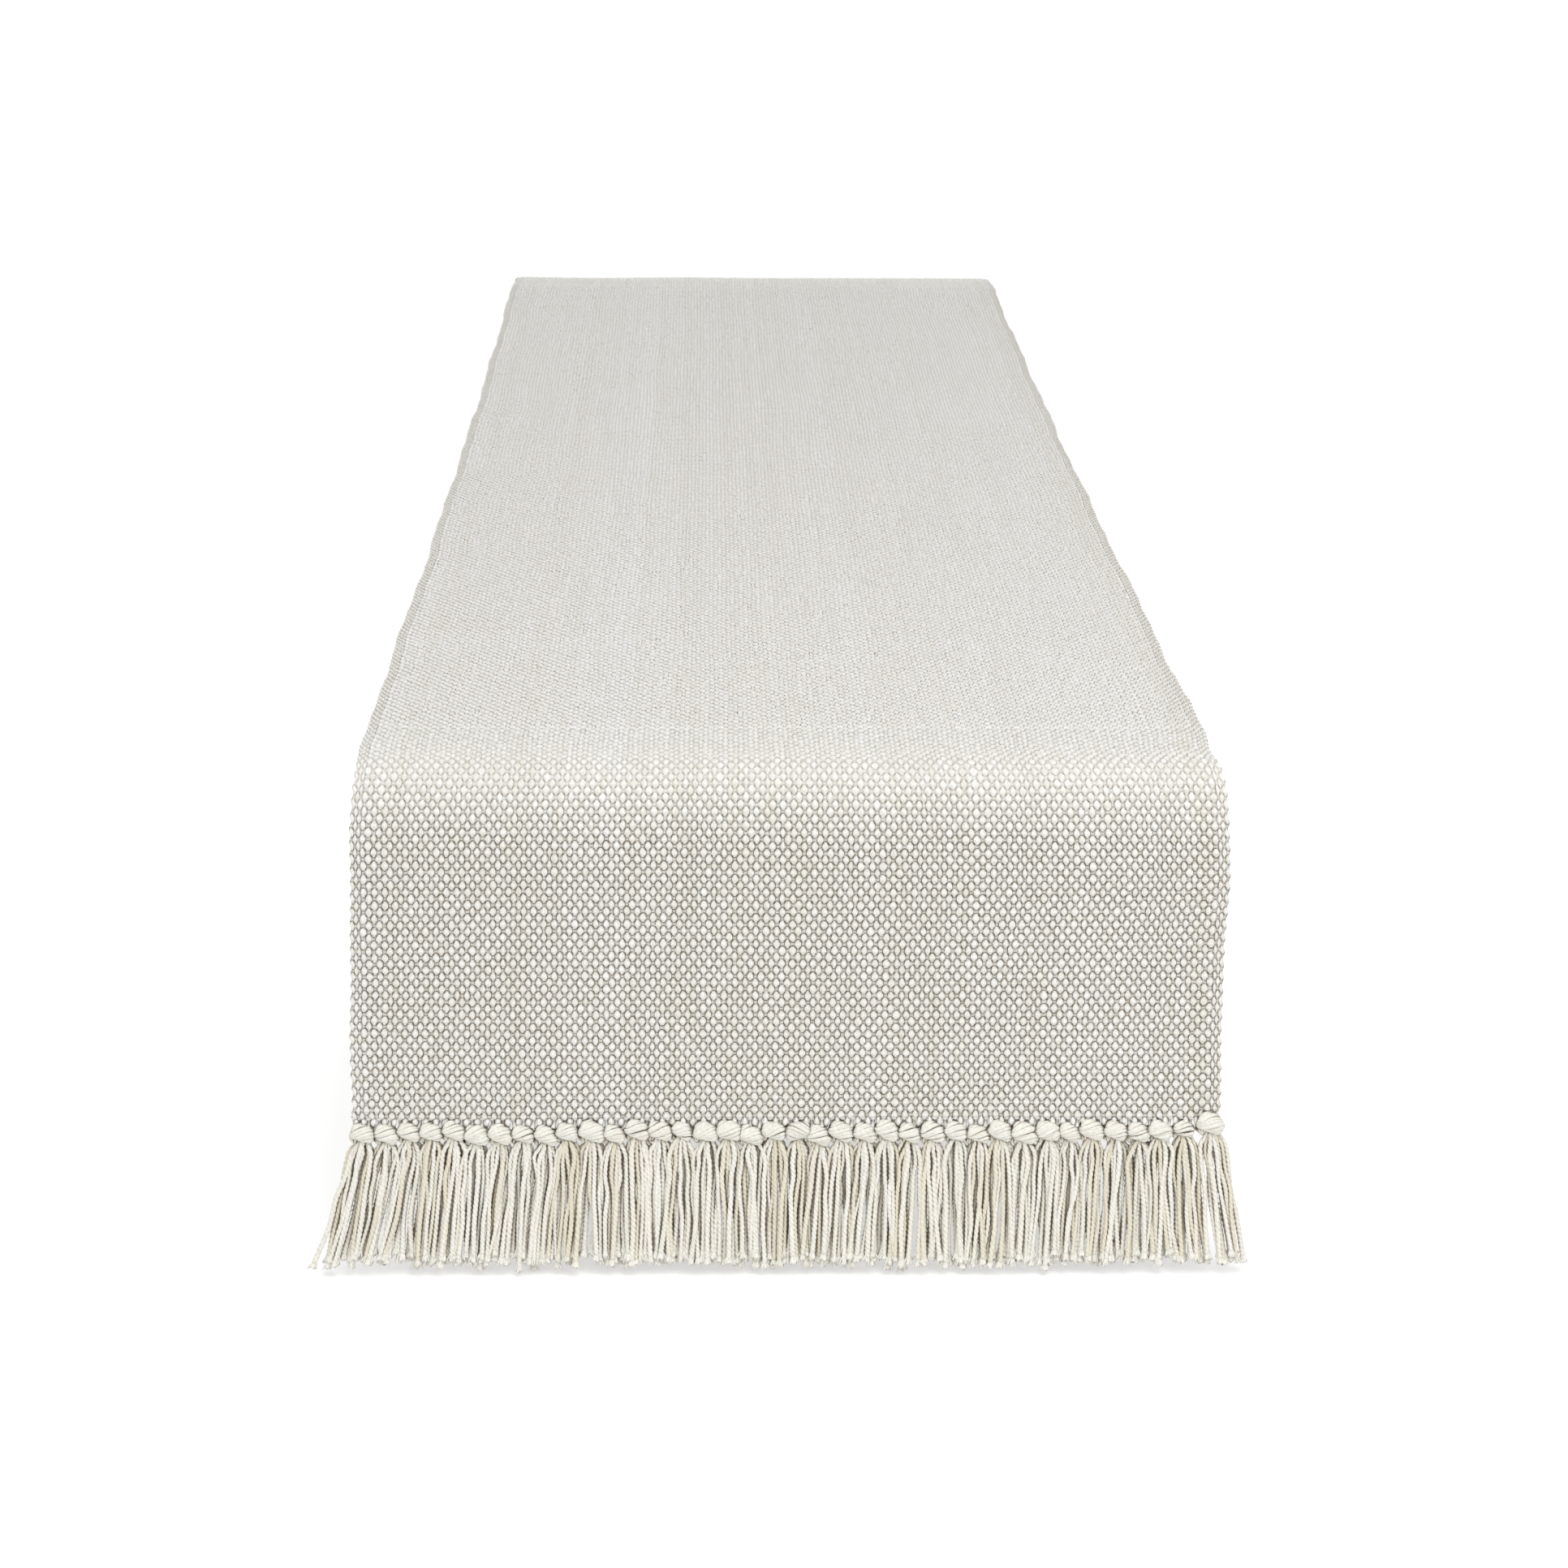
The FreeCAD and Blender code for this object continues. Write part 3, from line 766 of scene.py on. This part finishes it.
def twist_lines(tree, place):
    """The fine slanting lines of twisted yarn across every bead."""
    wave = node(tree, "ShaderNodeTexWave", bands_direction="X")
    wave.inputs["Scale"].default_value = 0.62
    wave.inputs["Distortion"].default_value = 2.2
    wave.inputs["Detail"].default_value = 2.0
    wave.inputs["Detail Scale"].default_value = 1.3
    turned = node(tree, "ShaderNodeMapping")
    turned.inputs["Rotation"].default_value = (0, 0, math.radians(33))
    tree.links.new(place, turned.inputs["Vector"])
    tree.links.new(turned.outputs[0], wave.inputs["Vector"])
    return wave.outputs["Fac"]


def crevices(tree, reach, strength):
    """How far a point lies in a narrow crevice between yarns, from how much of its surroundings it sees, for
    the painted shade there.
    """
    seen = node(tree, "ShaderNodeAmbientOcclusion", samples=6)
    seen.inputs["Distance"].default_value = reach
    return ranged(tree, seen.outputs["AO"], 0.25, 0.85, strength, 0.0)


def cotton(name, light, dark, crevice, hollow, relief, reach, closeness, woven=False):
    """Matt cotton yarn: light and dark yarns by tone, a painted tan shade in the hollows at strength hollow,
    fibres as bump relief metres deep, and a painted shade of colour crevice in the crevices that reach across
    so far, at strength closeness."""
    material = bpy.data.materials.new(name)
    material.use_nodes = True
    tree = material.node_tree
    shader = tree.nodes["Principled BSDF"]
    shader.inputs["Specular IOR Level"].default_value = 0.18
    shader.inputs["Sheen Weight"].default_value = 0.08
    shader.inputs["Sheen Roughness"].default_value = 0.6
    place = attribute(tree, "cloth_mm", "Vector")
    mottle = noise(tree, place, 0.9, 3.0, (1.0, 0.45, 1.0))
    fibre = noise(tree, place, 4.5, 3.0, (1.0, 0.5, 1.0))
    colour = mixed(tree, ranged(tree, attribute(tree, "tone"), 0.0, 1.0, 0.0, 1.0), light, dark)
    colour = mixed(tree, ranged(tree, mottle, 0.42, 0.72, 0.0, 0.42), colour, YARN_SHADE)
    colour = mixed(tree, ranged(tree, fibre, 0.5, 0.75, 0.0, 0.3), colour, YARN_SHADE)
    # A painted tan shade in the hollows.
    colour = mixed(tree, ranged(tree, attribute(tree, "hollow"), 0.25, 0.95, 0.0, hollow), colour, PAINTED_GAP_SHADE)
    height = fibre
    if woven:
        twist = twist_lines(tree, place)
        height = mixed(tree, 0.5, fibre, twist)
        # A painted shade in the grooves of the yarns' twist.
        colour = mixed(tree, ranged(tree, twist, 0.0, 0.45, 0.2, 0.0), colour, PAINTED_GAP_SHADE)
        # A painted shade in the crevices round the beads.
        colour = mixed(tree, bead_crevice_shade(tree), colour, PAINTED_GAP_SHADE)
        seeds = node(tree, "ShaderNodeTexVoronoi")
        seeds.inputs["Scale"].default_value = 0.055
        seeds.inputs["Randomness"].default_value = 1.0
        tree.links.new(place, seeds.inputs["Vector"])
        strip = ranged(tree, attribute(tree, "flat_strip"), 0.0, 1.0, 0.0, 0.17)
        colour = mixed(tree, strip, colour, STRIP_GREY)
        spot = ranged(tree, seeds.outputs["Distance"], 0.014, 0.026, 0.8, 0.0)
        colour = mixed(tree, spot, colour, FLECK)
    crevice_share = crevices(tree, reach, closeness)
    # Over the table's edge the painted crevice shade is weakened as well.
    if woven:
        crevice_share = maths(tree, "MULTIPLY", crevice_share, crevice_shade_weight(tree))
    # Frayed ends scatter light, so no painted crevice shade is drawn there.
    colour = mixed(tree, attribute(tree, "frayed"), mixed(tree, crevice_share, colour, crevice), colour)
    tree.links.new(colour, shader.inputs["Base Color"])
    tree.links.new(ranged(tree, fibre, 0.3, 0.7, 0.86, 0.97), shader.inputs["Roughness"])
    bumper = node(tree, "ShaderNodeBump")
    bumper.inputs["Strength"].default_value = 1.0
    bumper.inputs["Distance"].default_value = relief
    tree.links.new(height, bumper.inputs["Height"])
    tree.links.new(bumper.outputs["Normal"], shader.inputs["Normal"])
    return material


RELIEF = 0.16 * MM
YARN_RELIEF = 0.14 * MM
table_cotton = cotton(
    "cotton_weave_on_table", TABLE_IVORY, TABLE_ECRU, DARK_CREVICE_SHADE, 0.05, RELIEF, 2.0 * MM, 0.15, woven=True)
weave_cotton = cotton("cotton_weave", IVORY, ECRU, DARK_CREVICE_SHADE, 0.45, RELIEF, 2.0 * MM, 0.8, woven=True)
edge_cotton = cotton("cotton_selvedge", IVORY, ECRU, DARK_CREVICE_SHADE, 0.4, RELIEF, 2.0 * MM, 0.7, woven=True)
warp_cotton = cotton("cotton_warp_ends", IVORY, ECRU, DARK_CREVICE_SHADE, 0.3, YARN_RELIEF, 1.6 * MM, 0.6)
knot_cotton = cotton("cotton_knots", KNOT_IVORY, IVORY_SHADE, DARK_CREVICE_SHADE, 0.3, YARN_RELIEF, 2.6 * MM, 1.0)
strand_cotton = cotton(
    "cotton_strands", STRAND_IVORY, STRAND_ECRU, TAN_CREVICE_SHADE, 0.3, YARN_RELIEF, 2.2 * MM, 0.95)


# ---------------------------------------------------------------- building

def finished(piece, material):
    """The piece with its material."""
    piece.data.materials.append(material)
    return piece


def turned_to_back(result):
    """A front piece's points, turned half a turn about Z to the back end."""
    points, quads, uv, values = result
    return points * np.array([-1.0, -1.0, 1.0]), quads, uv, values


def build_cloth():
    """The cloth in three stretches. Returns each one's sheet and its two selvedges."""
    first_wide, last_wide = NARROW_COLUMNS, COLUMNS - NARROW_COLUMNS
    spans = {
        "front": (0, END_ROWS, FINE),
        "middle": (END_ROWS, ROWS - END_ROWS, COARSE),
        "back": (ROWS - END_ROWS, ROWS, FINE),
    }
    sheets = {}
    for part, (low, high, fine) in spans.items():
        sheet = woven_piece(part + "_cloth", (first_wide, last_wide), (low, high), fine)
        finished(sheet, table_cotton if part == "middle" else weave_cotton)
        left = woven_piece(part + "_selvedge_at_minus_x", (0, first_wide), (low, high), fine)
        right = woven_piece(part + "_selvedge_at_plus_x", (last_wide, COLUMNS), (low, high), fine)
        for edge in (left, right):
            finished(edge, edge_cotton)
        sheets[part] = (sheet, left, right)
    return sheets


def blend_over_bend(piece):
    """Bakes the piece's transform into its mesh."""
    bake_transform(piece)


def build_fringe(end, seed):
    """The warp ends, knots and tassels of one end. Returns them."""
    fringe = Fringe(seed)
    turn = turned_to_back if end == "back" else (lambda result: result)
    pieces = []
    warps = fringe.warp_ends()
    knots = joined([fringe.knot(n) for n in range(TASSELS)])
    warp_piece = finished(new_object(end + "_warp_end_yarns", *turn(warps)), warp_cotton)
    knot_piece = finished(new_object(end + "_overhand_knots", *turn(knots)), knot_cotton)
    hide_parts(end + "_warp_ends")
    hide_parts(end + "_knots")
    for piece in (warp_piece, knot_piece):
        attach(piece, end + "_drop")
        pieces.append(piece)
    for first in range(1, TASSELS, 2):
        name = "{}_tassels_{:02d}_{:02d}".format(end, first, first + 1)
        result = joined([fringe.tassel(first - 1), fringe.tassel(first)])
        piece = finished(new_object(name + "_strands", *turn(result)), strand_cotton)
        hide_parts(name)
        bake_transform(piece)
        pieces.append(piece)
    return pieces


def build_camera():
    """The camera stands in front of the near end, a little to its left, and looks down along the cloth. Its
    place, direction and lens come from fitting the runner's corners, at its assumed size, to the photograph's
    viewing angle."""
    data = bpy.data.cameras.new("camera")
    data.lens = 82.6
    data.sensor_width = 36.0
    camera = bpy.data.objects.new("camera", data)
    bpy.context.scene.collection.objects.link(camera)
    camera.matrix_world = (
        Matrix.Translation((-0.035, -(DROP_Y + 1.5093), 0.4541))
        @ Matrix.Rotation(math.radians(-1.258), 4, "Z")
        @ Matrix.Rotation(math.radians(90 - 16.935), 4, "X")
        @ Matrix.Rotation(math.radians(0.387), 4, "Z")
    )
    bpy.context.scene.camera = camera


def aimed(name, data, place, target):
    """Puts a light in its place, turned to a target."""
    light = bpy.data.objects.new(name, data)
    bpy.context.scene.collection.objects.link(light)
    light.location = place
    light.rotation_euler = (Vector(target) - Vector(place)).to_track_quat("-Z", "Y").to_euler()


def build_stage():
    """A pale floor just under the fringe, a white room, and soft light from above and in front."""
    size = 12.0
    z = TIP_Z - 11.5 * MM
    corners = [(-size, -size, z), (size, -size, z), (size, size, z), (-size, size, z)]
    floor = new_object("floor", corners, [(0, 1, 2, 3)])
    material = bpy.data.materials.new("floor")
    material.use_nodes = True
    shader = material.node_tree.nodes["Principled BSDF"]
    shader.inputs["Base Color"].default_value = (0.7, 0.7, 0.7, 1)
    shader.inputs["Roughness"].default_value = 1.0
    shader.inputs["Specular IOR Level"].default_value = 0.0
    shader.inputs["Emission Color"].default_value = (1, 1, 1, 1)
    shader.inputs["Emission Strength"].default_value = 0.42
    floor.data.materials.append(material)

    world = bpy.data.worlds.new("room")
    world.use_nodes = True
    tree = world.node_tree
    room = tree.nodes["Background"]
    room.inputs["Color"].default_value = (1, 1, 1, 1)
    room.inputs["Strength"].default_value = 0.32
    seen = node(tree, "ShaderNodeBackground")
    seen.inputs["Color"].default_value = (1, 1, 1, 1)
    either = node(tree, "ShaderNodeMixShader")
    tree.links.new(node(tree, "ShaderNodeLightPath").outputs["Is Camera Ray"], either.inputs[0])
    tree.links.new(room.outputs[0], either.inputs[1])
    tree.links.new(seen.outputs[0], either.inputs[2])
    tree.links.new(either.outputs[0], tree.nodes["World Output"].inputs["Surface"])
    bpy.context.scene.world = world

    for name, energy, angle, place in (
        ("overhead", 0.74, 30, (0, 0, 3)),
        ("window", 1.16, 75, (-0.5, -2.0, 2.7)),
    ):
        sun = bpy.data.lights.new(name, "SUN")
        sun.energy = energy
        sun.angle = math.radians(angle)
        aimed(name, sun, place, (0, 0, 0))
    key = bpy.data.lights.new("key", "AREA")
    key.shape = "SQUARE"
    key.size = 1.3
    key.energy = 17
    aimed("key", key, (0.45, -1.8, 1.45), (0, -0.69, -0.05))
    bpy.context.scene.view_settings.view_transform = "Standard"


build_camera()
build_stage()
sheets = build_cloth()
fringes = {"front": build_fringe("front", 11), "back": build_fringe("back", 12)}

for piece in sheets["middle"]:
    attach(piece, "runner_top")
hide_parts("top_panel")
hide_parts("top_selvedge_left")
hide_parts("top_selvedge_right")
for end in ("front", "back"):
    sheet, at_minus_x, at_plus_x = sheets[end]
    for piece in (sheet, at_minus_x, at_plus_x):
        blend_over_bend(piece)
    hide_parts(end + "_bend_upper", end + "_bend_lower", end + "_drop_panel")
    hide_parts(end + "_drop_selvedge_left")
    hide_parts(end + "_drop_selvedge_right")
